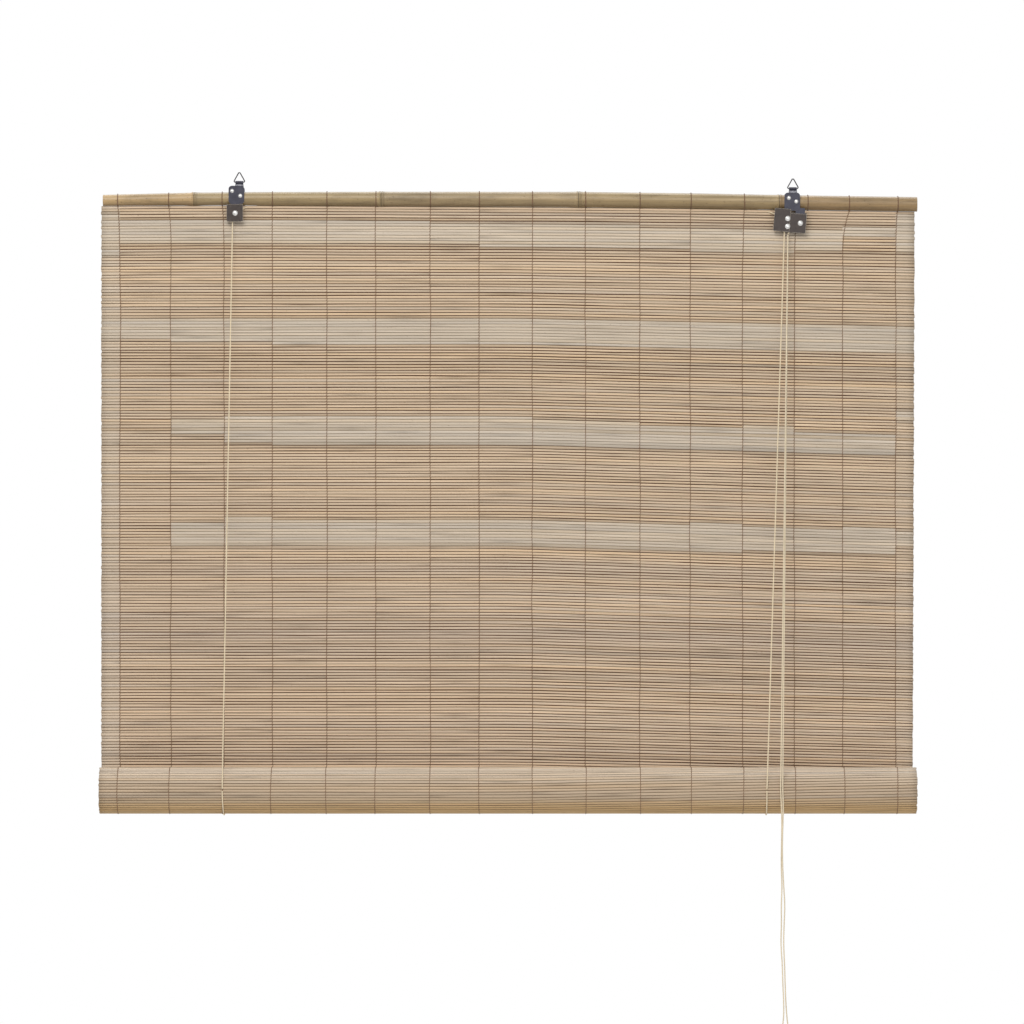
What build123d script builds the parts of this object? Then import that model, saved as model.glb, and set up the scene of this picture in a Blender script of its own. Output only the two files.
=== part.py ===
from build123d import *

import math
import os

# Bamboo roll-up blind, partly raised. Millimetres.
# +X runs along the head pole, +Y goes back towards the window, +Z is up.
# The origin is midway between the tops of the two hook rings.

# ---------------------------------------------------------------- driving dimensions
# Mat of split-bamboo slats
mat_width = 1200.0
mat_centre_x = -3.0        # the mat hangs a little to the left of the pole's middle
mat_top = -53.6            # height of the first slat's upper edge at mid width
slat_height = 4.1          # at its widest, halfway through its thickness
slat_face_height = 3.1     # of its front and back faces, between the chamfers
slat_thickness = 1.8
slat_pitch = 4.27
mat_fall = 8.6             # how much lower the mat's right edge hangs than its left edge
string_diameter = 1.0
string_clearance = 0.1
string_count = 16
first_string_inset = 28.0  # from the mat's left edge to the first warp string
last_string_inset = 28.7
string_drift = [0, -1, 1, -4, 0, -4, 0, -4, -2, 0, 4, 2, 3, 3, -2, 0]

# Head pole, a bamboo culm: distance along it, height of its centre, outer radius
pole_length = mat_width
culm_sections = [
    (-pole_length / 2, -38.8, 8.3),
    (-466.0, -36.7, 9.5),
    (-395.0, -36.3, 9.9),
    (-190.0, -36.6, 10.6),
    (101.0, -37.5, 11.4),
    (280.0, -39.6, 11.2),
    (400.0, -41.8, 10.9),
    (pole_length / 2, -44.6, 10.8),
]
culm_nodes = [-466.0, -190.0, 101.0, 397.0]
culm_wall = 3.0
culm_septum = 5.0
node_profile = [(-6.0, 0.0), (-1.6, 0.8), (0.0, 0.1), (1.6, 0.7), (6.0, 0.0)]

# Roll of mat at the bottom
roll_axis_z = -906.5
roll_turn_pitch = 3.8
roll_sheet_thickness = 2.2
roll_start_angle = 12.0    # where the sheet's outer end lies, below the roll's back
roll_outer_radius = 35.0
roll_core_radius = 7.4     # the sheet's middle line turns no tighter than this
lath_thickness = 6.0
lath_clearance = 0.6       # from the lath's edges to the innermost turn
lath_corner = 1.5

# Hook rings, bent from wire
ring_wire = 1.6
ring_height = 16.6
ring_width = 17.5
ring_corner = 1.6
left_ring_x = -399.0
left_ring_top = 4.65
right_ring_x = 417.0
right_ring_top = -4.65

# Sheet-metal hanger straps
sheet = 1.0
eye_clearance = 0.25
neck_width = 11.6
strap_width = 23.0
strap_corner = 5.0
strap_clearance = 0.3
left_strap_x = -403.0
left_shoulder_z = -17.6
left_leaf_bottom = -44.4
left_rivet_spots = [(-409.4, -25.2), (-397.3, -32.4)]
right_strap_x = 415.6
right_shoulder_z = -27.8
right_leaf_bottom = -54.3
right_rivet_spots = [(410.7, -35.6), (421.5, -40.8)]
tongue_width = 13.0
back_leaf_tail = 13.0      # how far the back leaf reaches below the pole
knot_hole_rise = 3.5       # from the back leaf's foot up to its cord hole

# Rivets
strap_shank = 2.2
strap_head = 5.9
axle_shank = 2.4
axle_head = 7.6
head_rise = 1.5
tail_head = 4.6
tail_rise = 0.8
hole_clearance = 0.05
bearing_clearance = 0.08

# Cord and the sheaves it runs over
cord_diameter = 2.0
groove_clearance = 0.3
flange_reach = 1.2         # how far a flange stands past the cord's centre line
left_sheave_x = -404.8
left_sheave_z = -57.9
left_groove_radius = 4.0
left_sheave_width = cord_diameter + 2.0
lock_sheave_x = 408.9
lock_sheave_z = -66.0
lock_groove_radius = 5.0
lock_groove_pitch = cord_diameter + 1.1
lock_sheave_width = 2 * lock_groove_pitch + 0.4
side_clearance = 0.3

# Left pulley case and right cord lock, folded from sheet
case_x = (-417.3, -393.3)
case_z = (-70.1, -45.0)
case_back_x = -399.6       # right edge of the case's back wall, clear of the cord
case_back_top = -48.5      # top of that wall, clear of the pole
plate_corner = 1.2
lock_turn = 4.5            # degrees that the lock hangs askew
cover_x = (388.7, 412.3)
cover_z = (-84.8, -51.2)
cover_flange_top = -67.5
lock_case_x = (404.5, 436.0)
lock_case_z = (-87.4, -59.2)
lock_back_x = (398.5, 436.0)
lock_back_z = (-87.4, -57.4)
lock_rivet_x = 427.5
lock_rivet_z = -72.8
brake_x = 415.1            # face that the cam pinches the cords against
brake_z = (-82.0, -61.0)
tab_x = (420.5, 434.2)
tab_foot = -79.5
cam_x = 408.6
cam_z = -77.6
cam_body_radius = 2.8
cam_nose_reach = 4.1
cam_nose_radius = 0.9
cam_rest_angle = 6.0       # the nose points this far below level
lock_exit_x = 409.6
lock_exit_z = -88.4

# Cord routes
left_sling_front_x = -421.4
left_sling_back_x = -418.6
right_sling_x = 376.2
sling_clearance = 0.3
joint_gap = 0.3            # between cord stretches that move apart
knot_diameter = 4.4

# Spare pull cord, wound up and tied
coil_mid_radius = 11.0
coil_build = 8.6
coil_width = 10.6
coil_x = 402.6
coil_down = 370.0          # below the roll's axis
left_coil_out = 7.7        # in front of the roll
right_coil_out = -3.6
tie_wall = 1.2
tie_width = 5.0
tie_clearance = 0.3
pull_cord_x = 399.2        # where the right pull cord passes the roll
pull_spread = 1.5 * cord_diameter


# ---------------------------------------------------------------- helpers
def keep(name, shape):
    export_step(shape, f"parts/{name}.step")


def block(x, y, z):
    """A box from three (low, high) pairs."""
    size = [high - low for low, high in (x, y, z)]
    centre = [(high + low) / 2 for low, high in (x, y, z)]
    return Pos(*centre) * Box(*size)


def rod_y(x, z, radius, y):
    """A cylinder along Y between the two values of y."""
    return Pos(x, (y[0] + y[1]) / 2, z) * Rot(90, 0, 0) * Cylinder(radius, y[1] - y[0])


def plate(x, z, front_y, corner=plate_corner, turn=0.0):
    """An upright sheet-metal plate with rounded corners; turn tilts it in its own plane."""
    flat = extrude(RectangleRounded(x[1] - x[0], z[1] - z[0], corner), amount=sheet / 2, both=True)
    place = Pos((x[0] + x[1]) / 2, front_y + sheet / 2, (z[0] + z[1]) / 2)
    return place * Rot(0, turn, 0) * Rot(90, 0, 0) * flat


def rivet(x, z, shank, head, y):
    """Domed head at the front of y, shank through, flat tail at the back."""
    ball = (head**2 / 4 + head_rise**2) / (2 * head_rise)
    dome = Pos(x, y[0] - head_rise + ball, z) * Sphere(ball)
    dome &= rod_y(x, z, head, (y[0] - head_rise, y[0]))
    pin = rod_y(x, z, shank / 2, (y[0], y[1]))
    tail = rod_y(x, z, tail_head / 2, (y[1], y[1] + tail_rise))
    return dome + pin + tail


def corner_radii(points, limit=None):
    """Arc radius for each corner of a cord's route."""
    radii = []
    for before, here, after in zip(points, points[1:], points[2:]):
        run_in = Vector(*here) - Vector(*before)
        run_out = Vector(*after) - Vector(*here)
        half_turn = math.radians(run_in.get_angle(run_out)) / 2
        radius = 0.45 * min(run_in.length, run_out.length) / math.tan(half_turn)
        radii.append(min(radius, limit) if limit else radius)
    return radii


def cord(points, radii=None, name=None):
    """A cord of straight runs joined by tangent arcs."""
    if len(points) == 2:
        line = Line(*points)
    else:
        radii = radii or corner_radii(points)
        line = FilletPolyline(*points, radius=radii)
    start = Plane(origin=points[0], z_dir=Vector(*points[1]) - Vector(*points[0]))
    tube = sweep(start * Circle(cord_diameter / 2), path=line)
    if name:
        share = tube.volume / (math.pi * cord_diameter**2 / 4 * line.length)
        print(name, "length", round(line.length, 1), "volume share", round(share, 4))
        print("   radii", [round(r, 1) for r in radii or []])
    return tube


# ---------------------------------------------------------------- head pole
def culm_at(x):
    """Height of the pole's centre and its plain radius at x."""
    for (x0, z0, r0), (x1, z1, r1) in zip(culm_sections, culm_sections[1:]):
        if x <= x1:
            break
    share = (x - x0) / (x1 - x0)
    return z0 + share * (z1 - z0), r0 + share * (r1 - r0)


def culm_loft(stations):
    """Solid through circles at (x, change of radius)."""
    rings = []
    for x, swell in stations:
        z, radius = culm_at(x)
        rings.append(Plane(origin=(x, 0, z), z_dir=(1, 0, 0)) * Circle(radius + swell))
    return loft(rings, ruled=True)


def near_node(x):
    return any(abs(x - node) < node_profile[-1][0] + 1 for node in culm_nodes)


def head_pole():
    ends = (culm_sections[0][0], culm_sections[-1][0])
    skin = [(x, 0.0) for x, _, _ in culm_sections if not near_node(x)]
    skin += [(node + along, swell) for node in culm_nodes for along, swell in node_profile]
    pole = culm_loft(sorted(skin))
    walls = [ends[0] - culm_septum] + culm_nodes + [ends[1] + culm_septum]
    for left, right in zip(walls, walls[1:]):
        inside = (max(left + culm_septum / 2, ends[0]), min(right - culm_septum / 2, ends[1]))
        turns = [x for x, _, _ in culm_sections if inside[0] + 8 < x < inside[1] - 8]
        pole -= culm_loft([(x, -culm_wall) for x in [inside[0], *turns, inside[1]]])
    for x, z in left_rivet_spots + right_rivet_spots:
        pole -= rod_y(x, z, strap_shank / 2 + hole_clearance, (-30, 30))
    return pole


# ---------------------------------------------------------------- mat
def slat_section():
    """Outline of a slat across its length: two faces and four chamfers."""
    face, back = slat_thickness / 2, -slat_thickness / 2
    edge, widest = slat_face_height / 2, slat_height / 2
    corners = [(back, -edge), (0, -widest), (face, -edge), (face, edge), (0, widest), (back, edge)]
    return make_face(Polyline(*corners, close=True))


def hanging_slats():
    """Separate slats from the pole down to the roll's axis."""
    tilt = math.degrees(math.atan(mat_fall / mat_width))
    slat = extrude(Plane.YZ.offset(-mat_width / 2) * slat_section(), amount=mat_width)
    lowest = roll_axis_z + mat_fall / 2
    slats = []
    z = mat_top - slat_height / 2
    while z - slat_height / 2 > lowest:
        slats.append(Pos(mat_centre_x, 0, z) * Rot(0, tilt, 0) * slat)
        z -= slat_pitch
    return Compound(slats)


def string_places():
    first = mat_centre_x - mat_width / 2 + first_string_inset
    step = (mat_width - first_string_inset - last_string_inset) / (string_count - 1)
    return [first + i * step + drift for i, drift in enumerate(string_drift)]


def warp_string(x):
    """The front and back threads that hold the slats."""
    z, radius = culm_at(x)
    top = z - radius - 2 * (string_diameter / 2 + string_clearance) - string_clearance
    reach = slat_thickness / 2 + string_clearance + string_diameter / 2
    length = top - roll_axis_z
    thread = Cylinder(string_diameter / 2, length)
    middle = (top + roll_axis_z) / 2
    return Compound([Pos(x, reach, middle) * thread, Pos(x, -reach, middle) * thread])


def lashing(x):
    """One turn of string round the pole."""
    z, radius = culm_at(x)
    around = radius + string_clearance + string_diameter / 2
    return Pos(x, 0, z) * Rot(0, 90, 0) * Torus(around, string_diameter / 2)


def lashing_places():
    """Beside each string; a hanger strap moves the string's turn to both its sides."""
    places = []
    for x in string_places():
        if abs(x - right_strap_x) < strap_width / 2 + 1:
            places += [right_strap_x + strap_width / 2 + 4.4]
        else:
            places.append(x)
    return places


# ---------------------------------------------------------------- roll
def roll_centre_y():
    """The sheet's outer turn leaves the roll in the plane of the hanging mat."""
    return -(roll_outer_radius - roll_sheet_thickness / 2)


def half_turns():
    """How many half turns of sheet fit outside the core."""
    room = roll_outer_radius - roll_sheet_thickness / 2 - roll_core_radius
    return int(room / (roll_turn_pitch / 2)) + 1


def half_turn_radius(k):
    """Radius of the sheet's middle line along its half turn k, counted inwards."""
    return roll_outer_radius - roll_sheet_thickness / 2 - k * roll_turn_pitch / 2


def half_turn_hub(k):
    """Centre of half turn k: the roll's axis or a point half a pitch from it."""
    start = math.radians(roll_start_angle)
    out = Vector(math.cos(start), -math.sin(start))
    return Vector(roll_centre_y(), roll_axis_z) - out * (k % 2 * roll_turn_pitch / 2)


def rolled_mat():
    """The spiral of sheet, as half-turn arcs about two centres."""
    start = math.radians(roll_start_angle)
    out = Vector(math.cos(start), -math.sin(start))
    down = Vector(-math.sin(start), -math.cos(start))
    edges = []
    for face in (roll_sheet_thickness / 2, -roll_sheet_thickness / 2):
        for k in range(half_turns()):
            hub = half_turn_hub(k)
            radius = (half_turn_radius(k) + face) * (1 if k % 2 == 0 else -1)
            edges.append(ThreePointArc(hub + out * radius, hub + down * radius, hub - out * radius))
    outer_face, inner_face = edges[:half_turns()], edges[half_turns():]
    edges.append(Line(outer_face[0] @ 0, inner_face[0] @ 0))
    edges.append(Line(outer_face[-1] @ 1, inner_face[-1] @ 1))
    profile = make_face(edges)
    return extrude(Plane.YZ.offset(mat_centre_x - mat_width / 2) * profile, amount=mat_width)


def bottom_lath():
    """The lath that the mat is rolled round; its edges come up to the innermost turn."""
    last = half_turns() - 1
    width = 2 * (half_turn_radius(last) - roll_sheet_thickness / 2 - lath_clearance)
    section = RectangleRounded(width, lath_thickness, lath_corner)
    hub = half_turn_hub(last)
    end = (mat_centre_x - mat_width / 2, hub.X, hub.Y)
    place = Plane(origin=end, x_dir=(0, 1, 0), z_dir=(1, 0, 0))
    return extrude(place * section, amount=mat_width)


# ---------------------------------------------------------------- hook rings and straps
def hook_ring(x, top):
    peak = top - ring_wire / 2
    base = top - ring_height
    corners = [(x, 0, peak), (x + ring_width / 2, 0, base), (x - ring_width / 2, 0, base)]
    line = FilletPolyline(*corners, radius=ring_corner, close=True)
    return sweep(Plane(origin=line @ 0, z_dir=line % 0) * Circle(ring_wire / 2), path=line)


def leaf_y(pole_radius):
    """Front and back faces of the strap's front leaf."""
    back = -(pole_radius + strap_clearance)
    return back - sheet, back


def strap_slope(x, eye_z, shoulder_z, reach, side):
    """Sheet from the rolled eye out to one leaf's shoulder."""
    inner = ring_wire / 2 + eye_clearance
    top = eye_z - inner
    outline = Polyline(
        (0, top),
        (side * reach, shoulder_z),
        (side * reach, shoulder_z - sheet),
        (0, top - sheet),
        close=True,
    )
    face = Plane.YZ.offset(x - neck_width / 2) * make_face(outline)
    return extrude(face, amount=neck_width)


def hanger_strap(ring_x, ring_top, x, shoulder_z, bottom_z, spots):
    """One sheet folded over the ring's base wire, with a leaf each side of the pole."""
    pole_z, pole_radius = culm_at(x)
    front, back = leaf_y(pole_radius)
    eye_z = ring_top - ring_height
    inner = ring_wire / 2 + eye_clearance
    eye = Pos(ring_x, 0, eye_z) * Rot(0, 90, 0) * Cylinder(inner + sheet, neck_width)
    strap = eye
    for side in (-1, 1):
        strap += strap_slope(ring_x, eye_z, shoulder_z, -front, side)
    width = (x - strap_width / 2, x + strap_width / 2)
    strap += plate(width, (bottom_z, shoulder_z), front, strap_corner)
    foot = pole_z - pole_radius - back_leaf_tail
    strap += plate(width, (foot, shoulder_z), -back, strap_corner)
    strap -= Pos(ring_x, 0, eye_z) * Rot(0, 90, 0) * Cylinder(inner, 2 * ring_width)
    for spot_x, spot_z in spots:
        strap -= rod_y(spot_x, spot_z, strap_shank / 2 + hole_clearance, (-30, 30))
    return strap, foot + knot_hole_rise


def strap_rivets(x, spots):
    front, _ = leaf_y(culm_at(x)[1])
    return Compound([rivet(sx, sz, strap_shank, strap_head, (front, -front)) for sx, sz in spots])


def left_hanger_strap():
    strap, hole_z = hanger_strap(
        left_ring_x, left_ring_top, left_strap_x, left_shoulder_z, left_leaf_bottom, left_rivet_spots
    )
    front, back = leaf_y(culm_at(left_strap_x)[1])
    tongue = (left_sheave_x - tongue_width / 2, left_sheave_x + tongue_width / 2)
    strap += plate(tongue, (left_sheave_z - 6, left_leaf_bottom + 6), front)
    strap -= rod_y(left_sheave_x, left_sheave_z, axle_shank / 2 + hole_clearance, (front - 1, back + 1))
    strap -= rod_y(left_cord_x(), hole_z, cord_diameter / 2 + side_clearance, (0, 30))
    return strap, hole_z


def right_hanger_strap():
    strap, hole_z = hanger_strap(
        right_ring_x, right_ring_top, right_strap_x, right_shoulder_z, right_leaf_bottom, right_rivet_spots
    )
    front, back = leaf_y(culm_at(right_strap_x)[1])
    strap += plate(tab_x, (tab_foot, right_leaf_bottom + 3.7), front)
    strap -= rod_y(lock_rivet_x, lock_rivet_z, axle_shank / 2 + hole_clearance, (front - 1, back + 1))
    strap -= rod_y(right_cord_x(), hole_z, cord_diameter / 2 + side_clearance, (0, 30))
    return strap, hole_z


# ---------------------------------------------------------------- pulleys and cord lock
def left_sheave_y():
    """Centre plane of the left sheave, behind the strap's tongue."""
    return leaf_y(culm_at(left_strap_x)[1])[1] + side_clearance + left_sheave_width / 2


def lock_sheave_y():
    """Centre plane of the lock's double sheave, behind the lock's front wall."""
    return leaf_y(culm_at(right_strap_x)[1])[0] + side_clearance / 2 + lock_sheave_width / 2


def left_cord_x():
    return left_sheave_x - left_groove_radius


def right_cord_x():
    return lock_sheave_x - lock_groove_radius


def sheave(x, y, z, groove_radius, width, grooves):
    """A wheel with one groove for each offset from its middle plane."""
    wheel = rod_y(x, z, groove_radius + flange_reach, (y - width / 2, y + width / 2))
    half_groove = cord_diameter / 2 + groove_clearance
    floor = groove_radius - cord_diameter / 2 - groove_clearance
    for offset in grooves:
        span = (y + offset - half_groove, y + offset + half_groove)
        wheel -= rod_y(x, z, groove_radius + 5, span) - rod_y(x, z, floor, span)
    return wheel - rod_y(x, z, axle_shank / 2 + bearing_clearance, (y - width, y + width))


def left_case_faces():
    """Front face of the case's front wall and of its back wall."""
    strap_front = leaf_y(culm_at(left_strap_x)[1])[0]
    return strap_front - side_clearance - sheet, left_sheave_y() + left_sheave_width / 2 + side_clearance


def left_pulley_case():
    """Front wall, left fold and back wall of one folded sheet."""
    front, back = left_case_faces()
    case = plate(case_x, case_z, front)
    case += plate((case_x[0], case_back_x), (case_z[0], case_back_top), back)
    case += block((case_x[0], case_x[0] + sheet), (front + sheet / 2, back + sheet / 2),
                  (case_z[0] + plate_corner, case_back_top - plate_corner))
    return case - rod_y(left_sheave_x, left_sheave_z, axle_shank / 2 + hole_clearance, (-30, 0))


def lock_faces():
    """Front faces of the cover plate, the case's front wall and the case's back wall."""
    middle = lock_sheave_y()
    front_wall = middle - lock_sheave_width / 2 - side_clearance - sheet
    back_wall = middle + lock_sheave_width / 2 + side_clearance
    return front_wall - 0.1 - sheet, front_wall, back_wall


def lock_holes():
    spots = [(lock_sheave_x, lock_sheave_z), (cam_x, cam_z), (lock_rivet_x, lock_rivet_z)]
    return [rod_y(x, z, axle_shank / 2 + hole_clearance, (-30, 0)) for x, z in spots]


def lock_cover_plate():
    """Front plate with a fold down its lower left edge."""
    cover, _, back = lock_faces()
    shape = plate(cover_x, cover_z, cover, turn=lock_turn)
    middle_z = (cover_z[0] + cover_z[1]) / 2
    flange = block((cover_x[0], cover_x[0] + sheet), (cover + sheet / 2, back),
                   (cover_z[0] + plate_corner, cover_flange_top))
    centre = Pos((cover_x[0] + cover_x[1]) / 2, 0, middle_z)
    shape += centre * Rot(0, lock_turn, 0) * centre.inverse() * flange
    for hole in lock_holes():
        shape -= hole
    return shape


def lock_case():
    """Front wall, right fold, back wall and brake tab of one folded sheet."""
    _, front, back = lock_faces()
    walls = plate(lock_case_x, lock_case_z, front) + plate(lock_back_x, lock_back_z, back)
    walls += block((lock_case_x[1] - sheet, lock_case_x[1]), (front + sheet / 2, back + sheet / 2),
                   (lock_case_z[0] + plate_corner, lock_case_z[1] - plate_corner))
    pivot = Pos(lock_rivet_x, 0, lock_rivet_z)
    walls = pivot * Rot(0, lock_turn, 0) * pivot.inverse() * walls
    walls += block((brake_x, brake_x + sheet), (front + sheet / 2, back + sheet / 2), brake_z)
    for hole in lock_holes():
        walls -= hole
    return walls


def lock_cam():
    """Brake cam whose nose pinches the cords against the brake tab."""
    middle = lock_sheave_y()
    span = (middle - lock_sheave_width / 2, middle + lock_sheave_width / 2)
    body = rod_y(0, 0, cam_body_radius, span)
    nose_centre = cam_nose_reach - cam_nose_radius
    nose = rod_y(nose_centre, 0, cam_nose_radius, span)
    bridge = block((0, nose_centre), span, (-cam_nose_radius, cam_nose_radius))
    cam = body + nose + bridge - rod_y(0, 0, axle_shank / 2 + bearing_clearance, (-40, 40))
    return Pos(cam_x, 0, cam_z) * Rot(0, cam_rest_angle, 0) * cam


# ---------------------------------------------------------------- lift cords
def sling_radius():
    return roll_outer_radius + sling_clearance + cord_diameter / 2


def roll_tangent(y, z, side):
    """Angle above level at which a cord from (y, z) meets the roll, and its (y, z) there."""
    reach_y = side * (y - roll_centre_y())
    reach_z = z - roll_axis_z
    distance = math.hypot(reach_y, reach_z)
    angle = math.atan2(reach_z, reach_y) - math.acos(sling_radius() / distance)
    y_at = roll_centre_y() + side * sling_radius() * math.cos(angle)
    return math.degrees(angle), y_at, roll_axis_z + sling_radius() * math.sin(angle)


def sling(front_x, back_x, front_angle, back_angle):
    """Cord under the roll, from the foot of the front run to the foot of the back run."""
    radius = sling_radius()
    start = math.radians(180 - front_angle)
    finish = math.radians(360 + back_angle)
    middle = (start + finish) / 2
    points = [(radius * math.cos(a), radius * math.sin(a)) for a in (start, middle, finish)]
    arc = Plane.YZ * ThreePointArc(*points)
    section = Plane(origin=arc @ 0, z_dir=arc % 0) * Circle(cord_diameter / 2)
    loop = sweep(section, path=arc)
    askew = math.degrees(math.atan((back_x - front_x) / (2 * radius)))
    place = Pos((front_x + back_x) / 2, roll_centre_y(), roll_axis_z)
    return place * Rot(0, 0, -askew) * loop


def lift_cord(name, top_x, front_y, front_z, hole_z, leaf_back, front_x, back_x):
    """Front run, back run, sling and anchor knot of one lift cord."""
    bend_y = leaf_back - sheet - 4.0
    bend_z = hole_z - 6.0
    front_angle, foot_y, foot_z = roll_tangent(front_y, front_z, -1)
    back_angle, heel_y, heel_z = roll_tangent(bend_y, bend_z, 1)
    foot = (front_x, foot_y, foot_z + joint_gap)
    heel = (back_x, heel_y, heel_z + joint_gap)
    keep(f"{name}_cord_front_run", cord([(top_x, front_y, front_z), foot]))
    keep(f"{name}_cord_back_run", cord([(top_x, bend_y, bend_z), heel]))
    keep(f"{name}_cord_sling", sling(front_x, back_x, front_angle, back_angle))
    knot_y = leaf_back + knot_diameter / 2
    anchor = cord([(top_x, knot_y, hole_z), (top_x, bend_y, hole_z), (top_x, bend_y, bend_z + 0.05)],
                  radii=[2.8])
    keep(f"{name}_cord_knot", anchor + Pos(top_x, knot_y, hole_z) * Sphere(knot_diameter / 2))
    print(name, "front run", front_z, "to", round(foot_z, 2), "y", round(foot_y, 2))
    print(name, "back run", round(bend_z, 2), "to", round(heel_z, 2), "y", round(heel_y, 2))


def left_head_run():
    """Up over the left sheave, through under the pole, along behind it and into the lock."""
    x, y = left_cord_x(), left_sheave_y()
    top = left_sheave_z + left_groove_radius
    rear = lock_sheave_y() + lock_groove_pitch / 2
    lock_top = lock_sheave_z + lock_groove_radius
    down_x = lock_sheave_x + lock_groove_radius
    points = [
        (x, y, case_z[0] - 0.2),
        (x, y, top),
        (left_sheave_x + 7.0, y + 0.3, top + 0.3),
        (-389.0, -1.0, -48.6),
        (-380.0, 9.5, -47.2),
        (-366.0, 13.9, -46.0),
        (356.0, 13.9, -51.0),
        (370.0, 9.0, -53.4),
        (379.0, 0.5, -54.6),
        (386.0, -5.6, -57.4),
        (395.0, rear, lock_top),
        (down_x, rear, lock_top),
        (down_x, rear, -80.0),
        (lock_exit_x, rear, lock_exit_z),
    ]
    radii = corner_radii(points, limit=30.0)
    radii[0] = left_groove_radius
    radii[-2] = lock_groove_radius
    radii[-1] = 6.0
    return cord(points, radii, "left_cord_head_run")


def right_head_run():
    """Up through the lock, over its sheave and down past the cam."""
    front = lock_sheave_y() - lock_groove_pitch / 2
    lock_top = lock_sheave_z + lock_groove_radius
    down_x = lock_sheave_x + lock_groove_radius
    points = [
        (right_cord_x(), front, lock_exit_z),
        (right_cord_x(), front, lock_top),
        (down_x, front, lock_top),
        (down_x, front, -80.0),
        (lock_exit_x, front, lock_exit_z),
    ]
    almost = lock_groove_radius - 0.005
    return cord(points, [almost, almost, 6.0], "right_cord_head_run")


# ---------------------------------------------------------------- pull cords
# Points of each pull cord, from the roll down to its coil:
# place along the pole, distance out from the roll's front, distance below the roll's axis
pull_routes = {
    "left": [
        (pull_cord_x - pull_spread, 1.5, -3.4),
        (397.0, 1.7, 17.0),
        (398.0, 1.8, 42.0),
        (397.6, 1.7, 76.0),
        (396.9, 1.9, 110.0),
        (398.3, 1.7, 140.0),
        (397.0, 1.9, 168.0),
        (397.4, 2.2, 196.0),
        (396.3, 2.0, 222.0),
        (398.6, 2.2, 254.0),
        (399.3, 2.4, 282.0),
        (400.6, 2.7, 308.0),
        (400.7, 3.7, 330.0),
        (398.6, 6.5, 345.0),
        (394.0, 7.7, 357.0),
    ],
    "right": [
        (pull_cord_x, 1.5, -3.4),
        (400.0, 2.5, 17.0),
        (399.6, 4.0, 42.0),
        (398.4, 4.3, 76.0),
        (398.9, 4.1, 110.0),
        (400.6, 3.3, 140.0),
        (402.4, 2.3, 168.0),
        (401.2, 2.0, 196.0),
        (400.3, 1.9, 222.0),
        (401.9, 2.0, 254.0),
        (402.7, 1.9, 282.0),
        (403.6, 1.6, 308.0),
        (405.2, 0.6, 330.0),
        (407.0, -2.1, 345.0),
        (411.2, -3.6, 357.0),
    ],
}


def before_roll(x, out, down):
    """A place given from the roll's front and axis."""
    return x, roll_centre_y() - roll_outer_radius - out, roll_axis_z - down


def pull_coil(out):
    x, y, z = before_roll(coil_x, out, coil_down)
    outer = coil_mid_radius + coil_build / 2
    inner = coil_mid_radius - coil_build / 2
    span = (y - coil_width / 2, y + coil_width / 2)
    return rod_y(x, z, outer, span) - rod_y(x, z, inner, span)


def cord_tie():
    """Band round both coils at their top."""
    x, front, z = before_roll(coil_x, left_coil_out, coil_down)
    back = before_roll(coil_x, right_coil_out, coil_down)[1]
    inner = z + coil_mid_radius - coil_build / 2 - 0.8
    outer = z + coil_mid_radius + coil_build / 2 + tie_clearance
    y = (front - coil_width / 2 - tie_clearance, back + coil_width / 2 + tie_clearance)
    span = (x - tie_width / 2, x + tie_width / 2)
    hole = block((span[0] - 1, span[1] + 1), y, (inner, outer))
    band = block(span, (y[0] - tie_wall, y[1] + tie_wall), (inner - tie_wall, outer + tie_wall))
    return band - hole


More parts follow.
